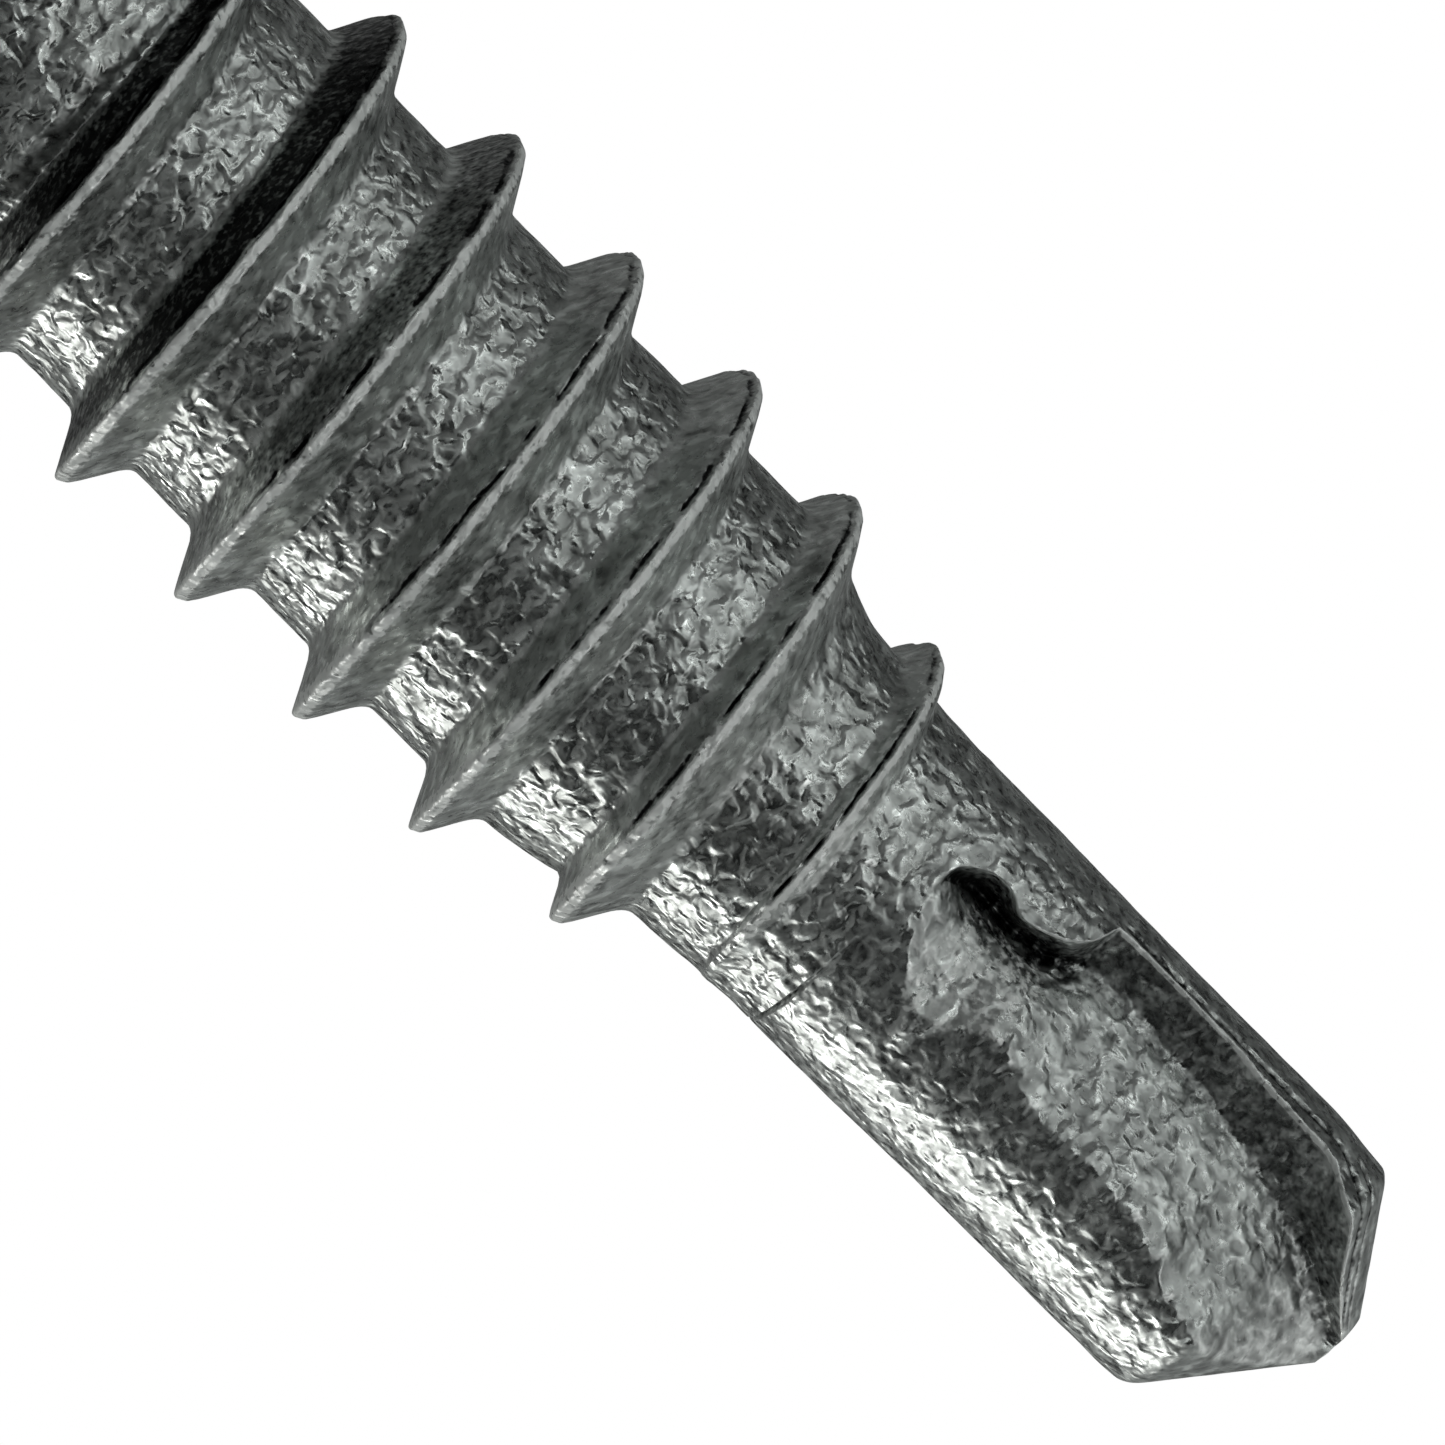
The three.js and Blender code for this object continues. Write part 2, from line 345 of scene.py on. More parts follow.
def thread_offsets():
    """Places along one pitch, measured from the crest, close together at crest and flank feet."""
    spans = [(-0.9, -0.6, 4), (-0.6, -0.38, 6), (-0.38, -0.11, 5), (-0.11, 0.11, 17),
             (0.11, 0.36, 4), (0.36, 0.58, 6), (0.58, 0.9, 4)]
    return stepped(spans)


def shank_grid(low, high):
    """Points, faces and the wear and painted light of the shank from z = low to high. The rows run
    along the helix, so every edge of the thread lies on a row. Rows past an end gather on the end's
    ring."""
    offsets = thread_offsets()
    per_turn = len(offsets)
    first = math.floor((low - THREAD_PHASE) / PITCH) - 2
    last = math.ceil((high - THREAD_PHASE) / PITCH) + 1
    turns = np.arange(first, last)
    helix = (turns[:, None] * PITCH + offsets[None, :]).ravel()
    angle = np.arange(AROUND) * TURN / AROUND
    h = THREAD_PHASE + PITCH * np.arange(AROUND)[:, None] / AROUND + helix[None, :]
    h = np.clip(h, low, high + run_out_lead(high + 0.3))
    z = np.clip(h - run_out_lead(h), low, high)
    turn = np.broadcast_to(angle[:, None], z.shape)
    radius = shank_radius(turn, h)
    flat = [np.ravel(v) for v in (radius * np.cos(turn), radius * np.sin(turn), z)]
    points = np.stack(flat, 1)
    # the thread's rubbed wear, painted highlight and painted shade, point by point
    wear_and_painted_light = shank_wear_and_painted_light(points, np.ravel(turn), np.ravel(h))
    wear = shank_wear(points, np.ravel(turn), np.ravel(h))
    wear *= smooth_step(low, low + 0.3, np.ravel(z))
    points[:, 0] += wear * np.cos(np.ravel(turn))
    points[:, 1] += wear * np.sin(np.ravel(turn))
    count = len(helix)
    faces = []
    for i in range(AROUND):
        shift = per_turn if i == AROUND - 1 else 0
        a, b = i * count, ((i + 1) % AROUND) * count + shift
        for q in range(count - 1 - shift):
            corners = (a + q, b + q, b + q + 1, a + q + 1)
            heights = z.ravel()[list(corners)]
            if heights.max() - heights.min() > 1e-6:
                faces.append(corners)
    return points, faces, wear_and_painted_light


def hexagon_radius(angle):
    """Six flats, one of them facing +X, with slightly rounded corners."""
    sharpness = 70
    total = np.zeros_like(angle)
    for flat in range(6):
        total += np.clip(np.cos(angle - flat * TURN / 6), 0, 1) ** sharpness
    return ACROSS_FLATS / 2 * total ** (-1 / sharpness)


def head_wall(angle, z):
    """The head's side: chamfered hexagon, then the flange's slope and rim."""
    chamfer = CHAMFER_RADIUS + z * CHAMFER_SLOPE
    side = smooth_min(hexagon_radius(angle), chamfer, HEXAGON_ROUND)
    flat = ACROSS_FLATS / 2
    above_slope = z - (HEAD_HEIGHT - FLANGE_RIM - FLANGE_SLOPE)
    slope = flat + above_slope * (FLANGE_RADIUS - 0.1 - flat) / FLANGE_SLOPE
    flange = smooth_min(slope, np.full_like(angle, FLANGE_RADIUS), RIM_ROUND)
    past_edge = max(0.0, z - (HEAD_HEIGHT - RIM_EDGE))
    round_off = RIM_EDGE - np.sqrt(max(0.0, RIM_EDGE**2 - past_edge**2))
    return smooth_max(side, flange, FLANGE_ROUND) - round_off


def head_top(radius):
    """Height of the top face and its dimple. The head's top is z = 0 and its inside is up."""
    dish = DIMPLE_DEPTH * (1 - smooth_step(0.62 * DIMPLE_RADIUS, DIMPLE_RADIUS + 0.15, radius))
    return dish + 0.02 * smooth_step(CHAMFER_RADIUS - 0.2, CHAMFER_RADIUS, radius) ** 2


def head_rings():
    """Rings from the middle of the head's top, over its side and its bearing face, up the neck."""
    angle = np.arange(AROUND) * TURN / AROUND
    rings = [(radius, head_top(radius)) for radius in np.linspace(0.02, CHAMFER_RADIUS - 0.02, 18)]
    levels = np.concatenate([
        np.linspace(0.03, 0.75, 12), np.linspace(0.95, 3.7, 6), np.linspace(3.85, 4.9, 14),
        np.linspace(5.0, HEAD_HEIGHT - RIM_EDGE, 3),
        np.linspace(HEAD_HEIGHT - 0.12, HEAD_HEIGHT, 6),
    ])
    rings += [(head_wall(angle, z), z) for z in levels]
    face_out = FLANGE_RADIUS - 0.2
    face_in = NECK_RADIUS + NECK_FILLET
    rings += [(radius, HEAD_HEIGHT) for radius in np.linspace(face_out, face_in, 5)]
    for turn in np.linspace(0, math.pi / 2, 6)[1:]:
        radius = face_in - NECK_FILLET * math.sin(turn)
        rings.append((radius, HEAD_HEIGHT + NECK_FILLET * (1 - math.cos(turn))))
    neck = np.linspace(HEAD_HEIGHT + NECK_FILLET, HELIX_START_Z, 14)[1:]
    return rings + [(NECK_RADIUS, z) for z in neck]


def head_wear(points):
    """Forging marks and dings, kept off the face that the head stands on."""
    wear = 0.012 * rough(points, 1.1, 2.0) + 0.005 * rough(points, 0.3, 9.0)
    return wear * smooth_step(0.0, 0.12, points[:, 2])


def headed_shank(material):
    """The forging: head, neck and thread as one closed mesh."""
    points, faces = revolve(head_rings())
    radius = np.hypot(points[:, 0], points[:, 1])
    wear = head_wear(points) * smooth_step(HEAD_HEIGHT + 0.05, HEAD_HEIGHT - 0.1, points[:, 2])
    points[:, :2] *= (1 + wear / np.maximum(radius, 0.3))[:, None]
    grid_points, grid_faces, grid_wear_and_painted_light = shank_grid(HELIX_START_Z, SEAM_Z)
    shift = len(points)
    # the thread's painted highlights and painted shade, with none on the head and the end caps
    wear_and_painted_light = np.concatenate([np.zeros(shift), grid_wear_and_painted_light, np.zeros(2 + AROUND)])
    faces += [tuple(c + shift for c in face) for face in grid_faces]
    points = np.concatenate([points, grid_points])
    middle = len(points)
    points = np.concatenate([points, [[0, 0, head_top(0.0)], [0, 0, SEAM_Z]]])
    faces += [(i, (i + 1) % AROUND, middle) for i in range(AROUND)]
    rim = len(points)
    points = np.concatenate([points, revolve([(along(CORE_LINE, SEAM_Z), SEAM_Z)])[0]])
    faces += [(rim + i, rim + (i + 1) % AROUND, middle + 1) for i in range(AROUND)]
    return mesh_piece("headed_shank_surface", points, faces, "screw", "headed_shank",
                      material, wear_and_painted_light)


# ---------------------------------------------------------------- drill point

# Stations are (height, value). Angles on the drill point are in degrees from the -Y side, growing
# towards -X. SLOPE and VALLEY are the flute's corners across the drill, X towards -X and Y towards
# -Y. The last angles stop short of TIP_Z and stay level from there.
CUTTING_EDGE = [
    (23.75, 20), (23.84, 27), (24.0, 31), (24.27, 34.5), (24.43, 34), (24.7, 29.5), (25.05, 33),
    (25.33, 38.5), (25.5, 47), (25.62, 58), (26.2, 60), (27.3, 59.3), (27.9, 56), (28.5, 54.5),
    (28.97, 53), (29.2, 48), (29.45, 42), (29.75, 37), (30.0, 31), (30.2, 28.5), (30.44, 26),
    (30.56, 24),
]
HEEL = [
    (23.75, 18), (23.85, 9), (24.13, -6), (24.5, -17.5), (24.66, -22.5), (24.8, -17), (24.98, -11),
    (25.24, -4.2), (25.49, -3), (25.8, -7), (26.4, -12), (27.2, -11), (27.85, -14.3), (28.3, -18.8),
    (28.72, -26.5), (29.17, -29.5), (29.5, -35), (30.06, -47), (30.5, -60),
]
MARGIN_GROOVE = [
    (25.6, 63.5), (27.4, 63), (28.9, 62.5), (29.4, 53), (29.8, 43), (30.2, 35), (30.42, 29),
    (30.56, 26.5),
]
SLOPE_X = [
    (23.75, 0.58), (24.4, 0.45), (25.4, 0.42), (26.2, 0.42), (27.6, 0.36), (28.2, 0.22),
    (28.7, 0.06), (29.2, -0.12), (29.7, -0.2), (30.1, -0.16), (30.5, -0.06),
]
SLOPE_Y = [
    (23.75, 1.77), (24.0, 1.69), (24.3, 1.61), (24.66, 1.58), (25.0, 1.56), (25.4, 1.51),
    (25.8, 1.4), (26.4, 1.26), (27.6, 1.24), (28.2, 1.19), (28.7, 1.12), (29.2, 1.07),
    (29.7, 0.79), (30.1, 0.47), (30.5, 0.2),
]
VALLEY_X = [
    (23.75, 0.68), (23.9, 0.74), (24.2, 0.82), (24.8, 0.8), (25.3, 0.86), (25.7, 1.0), (26.0, 1.07),
    (27.39, 1.04), (27.82, 0.97), (28.5, 0.84), (29.13, 0.7), (29.7, 0.47), (30.29, 0.22),
    (30.5, 0.1),
]
VALLEY_Y = [
    (23.75, 1.72), (23.86, 1.5), (24.0, 1.2), (24.2, 0.95), (25.0, 0.78), (25.8, 0.7), (27.8, 0.72),
    (28.5, 0.74), (29.13, 0.7), (29.7, 0.54), (30.29, 0.28), (30.5, 0.14),
]
FLUTE_START = 23.75
FLUTE_FADE = 0.1
GROOVE_DEPTH = 0.035
MARGIN_DEGREES = 22
HEEL_ROUND, BEND_ROUND, VALLEY_ROUND, EDGE_ROUND = 0.26, 0.45, 0.16, 0.05
FLAP_Z, FLAP_LENGTH, FLAP_HEIGHT = 24.66, 0.15, 0.1

# The tip's cone: its radius at the very tip, and how fast it widens. The SKEW values are how much
# more on the side where the sine of the angle is 1.
CONE_RADIUS, CONE_RADIUS_SKEW = 0.32, 0.13
CONE_SLOPE, CONE_SLOPE_SKEW = 1.32, 0.09


def spot(degrees, radius):
    """A point across the drill: degrees from the -Y side towards -X."""
    turn = np.radians(degrees)
    return np.stack([-radius * np.sin(turn), -radius * np.cos(turn)], -1)


def around(degrees, middle, half_width):
    """A soft stripe along the drill, the same on both its lands."""
    off = (degrees - middle + 90) % 180 - 90
    return np.exp(-((off / half_width) ** 2))


def margin_groove(degrees, z):
    """The groove behind the cutting edge, with a finer one behind it on the cone."""
    middle = along(MARGIN_GROOVE, z)
    near_tip = smooth_step(29.0, 29.4, z)
    groove = around(degrees, middle, 1.8) + 0.8 * near_tip * around(degrees, middle + 9, 1.5)
    return groove * smooth_step(25.55, 25.75, z) * smooth_step(TIP_Z, 30.3, z)


def land_radius(degrees, z):
    """The round land with its margin groove, and the slightly skewed cone of the tip."""
    skew = np.sin(np.radians(degrees))
    body = DRILL_RADIUS + (SEAM_RADIUS - DRILL_RADIUS) * smooth_step(27.0, 24.0, z)
    body = body - 0.07 * smooth_step(28.8, 29.7, z)
    slope = CONE_SLOPE + CONE_SLOPE_SKEW * skew
    cone = CONE_RADIUS + CONE_RADIUS_SKEW * skew + (TIP_Z - z) * slope
    nose = np.sqrt(np.clip((TIP_Z - z) / 0.03, 0, 1))
    solid = smooth_min(body, np.maximum(cone, 0.02), 0.12)
    return (solid - GROOVE_DEPTH * margin_groove(degrees, z)) * np.minimum(1, nose)


def corner_curve(before, corner, after, size, count):
    """A short curve that rounds one corner of a section."""
    start = corner + (before - corner) * min(0.45, size / (np.linalg.norm(before - corner) + 1e-9))
    end = corner + (after - corner) * min(0.45, size / (np.linalg.norm(after - corner) + 1e-9))
    s = np.linspace(0, 1, count)[:, None]
    return (1 - s) ** 2 * start + 2 * s * (1 - s) * corner + s**2 * end


def inside(x, y, z, start):
    """A flute's plan place in world x, y, kept within the cone. start is the land's, 0 or 180."""
    degrees = math.degrees(math.atan2(x, y)) + 180 + start
    scale = min(1.0, 0.95 * float(land_radius(degrees + 20, z)) / max(math.hypot(x, y), 1e-6))
    return spot(degrees, math.hypot(x, y) * scale)


def straight(start, end, count):
    """Points between two places, without the two."""
    s = np.linspace(0, 1, count + 2)[1:-1, None]
    return start * (1 - s) + end * s


MARGIN_STEPS, LAND_STEPS, HEEL_STEPS, BACK_STEPS, BEND_STEPS = 24, 40, 12, 16, 12
FALL_STEPS, VALLEY_STEPS, WALL_STEPS, EDGE_STEPS = 20, 8, 18, 7


def flute_outline(z, start, cut, heel):
    """One flute across the drill, from its heel over the slope and the valley to the cutting edge.
    Also the angles round the drill that its two ends reach."""
    reach = max(float(land_radius(cut, z)), 0.05)
    edge_size = min(3.0, math.degrees(EDGE_ROUND / reach))
    heel_size = min(9.0, math.degrees(0.2 / reach))
    flap = FLAP_HEIGHT * math.exp(-(((z - FLAP_Z) / FLAP_LENGTH) ** 2))
    heel_point = spot(heel, land_radius(heel, z) + flap)
    before = spot(heel - heel_size, land_radius(heel - heel_size, z))
    edge_point = spot(cut + 180, land_radius(cut + 180, z))
    after = spot(cut + 180 + edge_size, land_radius(cut + 180 + edge_size, z))
    bend = inside(along(SLOPE_X, z), along(SLOPE_Y, z), z, start)
    valley = inside(along(VALLEY_X, z), along(VALLEY_Y, z), z, start)
    heel_curve = corner_curve(before, heel_point, bend, HEEL_ROUND, HEEL_STEPS)
    bend_curve = corner_curve(heel_point, bend, valley, BEND_ROUND, BEND_STEPS)
    valley_curve = corner_curve(bend, valley, edge_point, VALLEY_ROUND, VALLEY_STEPS)
    edge_curve = corner_curve(valley, edge_point, after, EDGE_ROUND, EDGE_STEPS)
    outline = np.concatenate([
        heel_curve, straight(heel_curve[-1], bend_curve[0], BACK_STEPS),
        bend_curve, straight(bend_curve[-1], valley_curve[0], FALL_STEPS),
        valley_curve, straight(valley_curve[-1], edge_curve[0], WALL_STEPS), edge_curve[:-1],
    ])
    return outline, heel - heel_size, cut + edge_size


def flute_painted_light(z):
    """How bright or dark each point of flute_outline() is painted: a painted highlight on the slope
    beside the pocket, painted shade in the valley and on the wall, darkest in the pocket, a painted
    highlight on the cutting edge."""
    # painted shade, deepest in the pocket
    pocket_shade = float(smooth_step(25.8, 25.5, z))
    # painted highlight along the cutting edge
    edge_highlight = 0.75 * float(smooth_step(24.75, 24.95, z))
    # painted highlight on the slope beside the pocket
    slope_highlight = 0.42 * float(smooth_step(24.1, 24.4, z) * smooth_step(25.6, 25.3, z))
    return np.concatenate([
        np.full(HEEL_STEPS + BACK_STEPS + BEND_STEPS, slope_highlight),
        # across the fall the painted highlight turns into painted shade; the valley and the wall
        # get painted shade
        slope_highlight - (slope_highlight + 0.1 + 0.85 * pocket_shade) * np.linspace(0, 1, FALL_STEPS) ** 2,
        np.full(VALLEY_STEPS, -0.45 - 0.6 * pocket_shade),
        np.linspace(-0.5 - 0.5 * pocket_shade, -0.42, WALL_STEPS),
        np.full(EDGE_STEPS - 1, edge_highlight),
    ])


def half_section(z, start):
    """Half of the drill's section at one height: a land, then a flute, in going-round order. The
    third column is each point's painted light: painted shade in the margin grooves, and the flute's
    painted highlights and shade."""
    cut = float(along(CUTTING_EDGE, z)) + start
    heel = float(along(HEEL, z)) + start + 180
    flute, land_end, land_start = flute_outline(z, start, cut, heel)
    margin = np.linspace(land_start, cut + MARGIN_DEGREES, MARGIN_STEPS)
    rest = np.linspace(cut + MARGIN_DEGREES, land_end, LAND_STEPS + 1)[1:]
    land_angles = np.concatenate([margin, rest])
    land = spot(land_angles, land_radius(land_angles, z))
    arc_angles = np.linspace(land_end, land_start + 180, len(flute) + 2)[1:-1]
    arc = spot(arc_angles, land_radius(arc_angles, z))
    share = smooth_step(FLUTE_START, FLUTE_START + FLUTE_FADE, z)
    # painted shade along the margin grooves, then the flute's painted highlights and painted shade
    wear_and_painted_light = np.concatenate([-0.9 * margin_groove(land_angles, z), flute_painted_light(z) * share])
    section = np.concatenate([land, arc * (1 - share) + flute * share])
    return np.column_stack([section, wear_and_painted_light])


def drill_levels():
    """Heights of the sections, close together at the seam, the flute's start and the tip."""
    spans = [(SEAM_Z, SEAM_Z + 0.12, 9), (SEAM_Z + 0.12, 23.74, 4), (23.74, 25.9, 74),
             (25.9, 29.0, 66), (29.0, 29.9, 42), (29.9, 30.56, 34), (30.56, TIP_Z, 8)]
    return np.append(stepped(spans), TIP_Z - 0.0004)


def seam_nick(degrees, z):
    """The weld seam shows as a dark nick on the +X side only."""
    return np.exp(-(((degrees + 60) / 28) ** 2)) * np.exp(-(((z - SEAM_Z - 0.03) / 0.022) ** 2))


def drill_wear(points, degrees):
    """Press scale and pits, stronger at the flute's start and along its heel, where the dies tore
    the metal."""
    z = points[:, 2]
    long_grain = points * np.array([1, 1, 0.5])
    wear = 0.008 * rough(points, 0.7, 4.0) + 0.006 * rough(long_grain, 0.16, 1.0)
    from_heel = (degrees - along(HEEL, z) + 90) % 180 - 90
    heel = np.exp(-((from_heel / 7) ** 2)) * smooth_step(24.2, 24.8, z) * smooth_step(29.6, 29.2, z)
    wear += 0.05 * heel * rough(points * np.array([0.5, 0.5, 1]), 0.11, 14.0)
    grain = smooth_step(-5, 8, from_heel) * smooth_step(75, 50, from_heel)
    grain = grain * smooth_step(24.0, 24.5, z)
    wear += 0.016 * grain * rough(points, 0.12, 17.0)
    torn = np.exp(-(((z - 25.25) / 0.36) ** 2)) * around(degrees, 42, 8)
    wear += 0.10 * torn * rough(points, 0.15, 6.0)
    wear *= smooth_step(SEAM_Z, SEAM_Z + 0.1, z) * smooth_step(TIP_Z, TIP_Z - 0.3, z)
    return wear - 0.05 * seam_nick(degrees, z)


def drill_point(material):
    """The drill point, lofted through sections that turn from a disc into a two-fluted drill."""
    rings = []
    for z in drill_levels():
        section = np.concatenate([half_section(z, 0), half_section(z, 180)])
        rings.append(np.column_stack([section[:, :2], np.full(len(section), z), section[:, 2]]))
    columns = len(rings[0])
    # painted highlights and painted shade from the sections; the seam's dark joint is taken off
    # below
    wear_and_painted_light = np.concatenate(rings)[:, 3]
    points = np.concatenate(rings)[:, :3]
    radius = np.hypot(points[:, 0], points[:, 1])
    degrees = np.degrees(np.arctan2(-points[:, 0], -points[:, 1]))
    wear_and_painted_light -= seam_nick(degrees, points[:, 2])
    wear = drill_wear(points, degrees)
    points[:, :2] *= (1 + wear / np.maximum(radius, 0.4))[:, None]
    faces = ring_faces(len(rings), columns)
    middle = len(points)
    points = np.concatenate([points, [[0, 0, SEAM_Z], [0, 0, TIP_Z]]])
    wear_and_painted_light = np.concatenate([wear_and_painted_light, [0, 0]])
    top = (len(rings) - 1) * columns
    faces += [(i, (i + 1) % columns, middle) for i in range(columns)]
    faces += [(top + i, top + (i + 1) % columns, middle + 1) for i in range(columns)]
    return mesh_piece("drill_point_surface", points, faces, "screw", "drill_point",
                      material, wear_and_painted_light)


# ---------------------------------------------------------------- washer and seal

def cup_washer(material):
    """Pressed steel with soft edges: flat inside, cupped from CUP_START to its rim."""
    base = HEAD_HEIGHT
    corners = [
        (WASHER_HOLE, base), (CUP_START, base), (WASHER_RADIUS, base + CUP_RISE),
        (WASHER_RADIUS, base + CUP_RISE + WASHER_THICKNESS - 0.05),
        (WASHER_RADIUS - 0.15, base + CUP_RISE + WASHER_THICKNESS),
        (CUP_START, base + WASHER_THICKNESS), (WASHER_HOLE, base + WASHER_THICKNESS),
    ]
    outline = filled(rounded(corners, 0.16), 0.12)
    points, faces = revolve(outline, columns=WASHER_AROUND, closed=True)
    radius = np.hypot(points[:, 0], points[:, 1])
    lift = 0.012 * rough(points, 2.2, 3.0) + 0.004 * rough(points, 0.4, 8.0)
    under = smooth_step(base + 0.02, base + 0.3, points[:, 2])
    points[:, 2] -= np.abs(lift) * under
    points[:, :2] *= (1 + 0.4 * (lift - 0.02) / radius)[:, None]
    return mesh_piece("cup_washer_surface", points, faces, "washer", "cup_washer",
                      material)


def sealing_ring(material):
    """Moulded rubber: soft edges, a faint parting line, slight unevenness."""
    base = HEAD_HEIGHT + WASHER_THICKNESS
    top = base + SEAL_THICKNESS
    cup = CUP_RISE / (WASHER_RADIUS - 0.12 - CUP_START)
    rim = base + (SEAL_RADIUS - CUP_START) * cup + 0.36
    corners = [
        (SEAL_HOLE, base), (CUP_START - 0.3, base), (SEAL_RADIUS, rim),
        (SEAL_RADIUS - SEAL_TAPER, top), (SEAL_HOLE, top),
    ]
    outline = filled(rounded(corners, 0.3, 7), 0.14)
    points, faces = revolve(outline, columns=WASHER_AROUND, closed=True)
    radius = np.hypot(points[:, 0], points[:, 1])
    outer = smooth_step(SEAL_RADIUS - 1.2, SEAL_RADIUS - 0.5, radius)
    parting = np.exp(-(((points[:, 2] - rim - 0.35) / 0.05) ** 2))
    swell = outer * (-0.02 + 0.015 * parting + 0.01 * rough(points, 1.6, 5.0))
    points[:, :2] *= (1 + swell / radius)[:, None]
    return mesh_piece("sealing_ring_surface", points, faces, "seal", "sealing_ring",
                      material)


# ---------------------------------------------------------------- materials

class Nodes:
    """Short calls for the nodes of one tree."""

    def __init__(self, tree):
        self.tree = tree

    def add(self, kind, **inputs):
        node = self.tree.nodes.new(kind)
        for key, value in inputs.items():
            node.inputs[key.replace("_", " ")].default_value = value
        return node

    def join(self, output, target):
        self.tree.links.new(output, target)

    def maths(self, operation, first, second):
        node = self.add("ShaderNodeMath")
        node.operation = operation
        for socket, value in zip(node.inputs, (first, second)):
            if isinstance(value, (int, float)):
                socket.default_value = value
            else:
                self.join(value, socket)
        return node.outputs[0]

    def ramp(self, value, low, high, from_low=0.0, from_high=1.0, smooth=False):
        node = self.add("ShaderNodeMapRange", From_Min=from_low, From_Max=from_high, To_Min=low,
                        To_Max=high)
        if smooth:
            node.interpolation_type = "SMOOTHSTEP"
        self.join(value, node.inputs["Value"])
        return node.outputs["Result"]

    def fade(self, first, second, share):
        """first where share is 0, second where it is 1."""
        kept = self.maths("MULTIPLY", first, self.maths("SUBTRACT", 1.0, share))
        return self.maths("ADD", kept, self.maths("MULTIPLY", share, second))


class Shader(Nodes):
    """A material's tree, with calls for its textures and its surface."""

    def __init__(self, name):
        self.material = bpy.data.materials.new(name)
        self.material.use_nodes = True
        super().__init__(self.material.node_tree)
        self.surface = self.tree.nodes["Principled BSDF"]

    def paint(self, output, socket):
        self.join(output, self.surface.inputs[socket])

    def place(self, stretch=(1, 1, 1)):
        """The piece's own coordinates in millimetres, stretched along an axis if asked."""
        coordinates = self.add("ShaderNodeTexCoord")
        scale = self.add("ShaderNodeVectorMath")
        scale.operation = "MULTIPLY"
        scale.inputs[1].default_value = [1 / MM / s for s in stretch]
        self.join(coordinates.outputs["Object"], scale.inputs[0])
        return scale.outputs[0]

    def noise(self, place, size, detail=3.0, roughness=0.55, distortion=0.0):
        node = self.add("ShaderNodeTexNoise", Scale=1 / size, Detail=detail, Roughness=roughness,
                        Distortion=distortion)
        self.join(place, node.inputs["Vector"])
        return node.outputs["Fac"]

    def cells(self, place, size):
        node = self.add("ShaderNodeTexVoronoi", Scale=1 / size)
        self.join(place, node.inputs["Vector"])
        return node.outputs["Color"]

    def mix(self, factor, first, second):
        node = self.add("ShaderNodeMix")
        node.data_type = "RGBA"
        self.join(factor, node.inputs["Factor"])
        for socket, colour in ((node.inputs[6], first), (node.inputs[7], second)):
            if isinstance(colour, tuple):
                socket.default_value = (*colour, 1)
            else:
                self.join(colour, socket)
        return node.outputs[2]

    def bump(self, height, distance_mm, under=None):
        node = self.add("ShaderNodeBump", Distance=distance_mm * MM, Strength=1.0)
        self.join(height, node.inputs["Height"])
        if under:
            self.join(under, node.inputs["Normal"])
        return node.outputs["Normal"]

    def attribute(self, name):
        node = self.add("ShaderNodeAttribute")
        node.attribute_name = name
        return node.outputs["Fac"]

    def steepness(self):
        """0 where the surface stands along the screw, 1 where it lies across it."""
        parts = self.add("ShaderNodeSeparateXYZ")
        self.join(self.add("ShaderNodeNewGeometry").outputs["Normal"], parts.inputs[0])
        return self.maths("ABSOLUTE", parts.outputs["Z"], 0.0)

    def from_axis(self):
        """Distance from the screw's axis, in millimetres."""
        node = self.add("ShaderNodeVectorMath")
        node.operation = "LENGTH"
        self.join(self.place((1, 1, 1e9)), node.inputs[0])
        return node.outputs["Value"]


# Near-white zinc for rubbed crests and painted highlights.
RUBBED_AND_HIGHLIGHT_ZINC = (0.86, 0.88, 0.86)
# Near-black for painted shade, and for the seam's dark joint.
PAINTED_SHADE_AND_SEAM_DARK = (0.015, 0.016, 0.016)


def zinc_colour(shader, place, worms, dark, light):
    """Blotches of two greys, with painted shade in the relief's pits and a painted highlight on its
    tops.
    """
    blotch = shader.noise(place, 0.8, 3.0)
    tone = shader.mix(shader.ramp(blotch, 0.0, 1.0, 0.35, 0.65), dark, light)
    # painted shade in the relief's pits and a painted highlight on its tops
    pit_shade = tuple(0.55 * c for c in dark)
    top = tuple(1.45 * c for c in light)
    pit_shaded = shader.mix(shader.ramp(worms, 0.0, 1.0, 0.28, 0.46), pit_shade, tone)
    return shader.mix(shader.ramp(worms, 0.0, 1.0, 0.54, 0.68), pit_shaded, top)


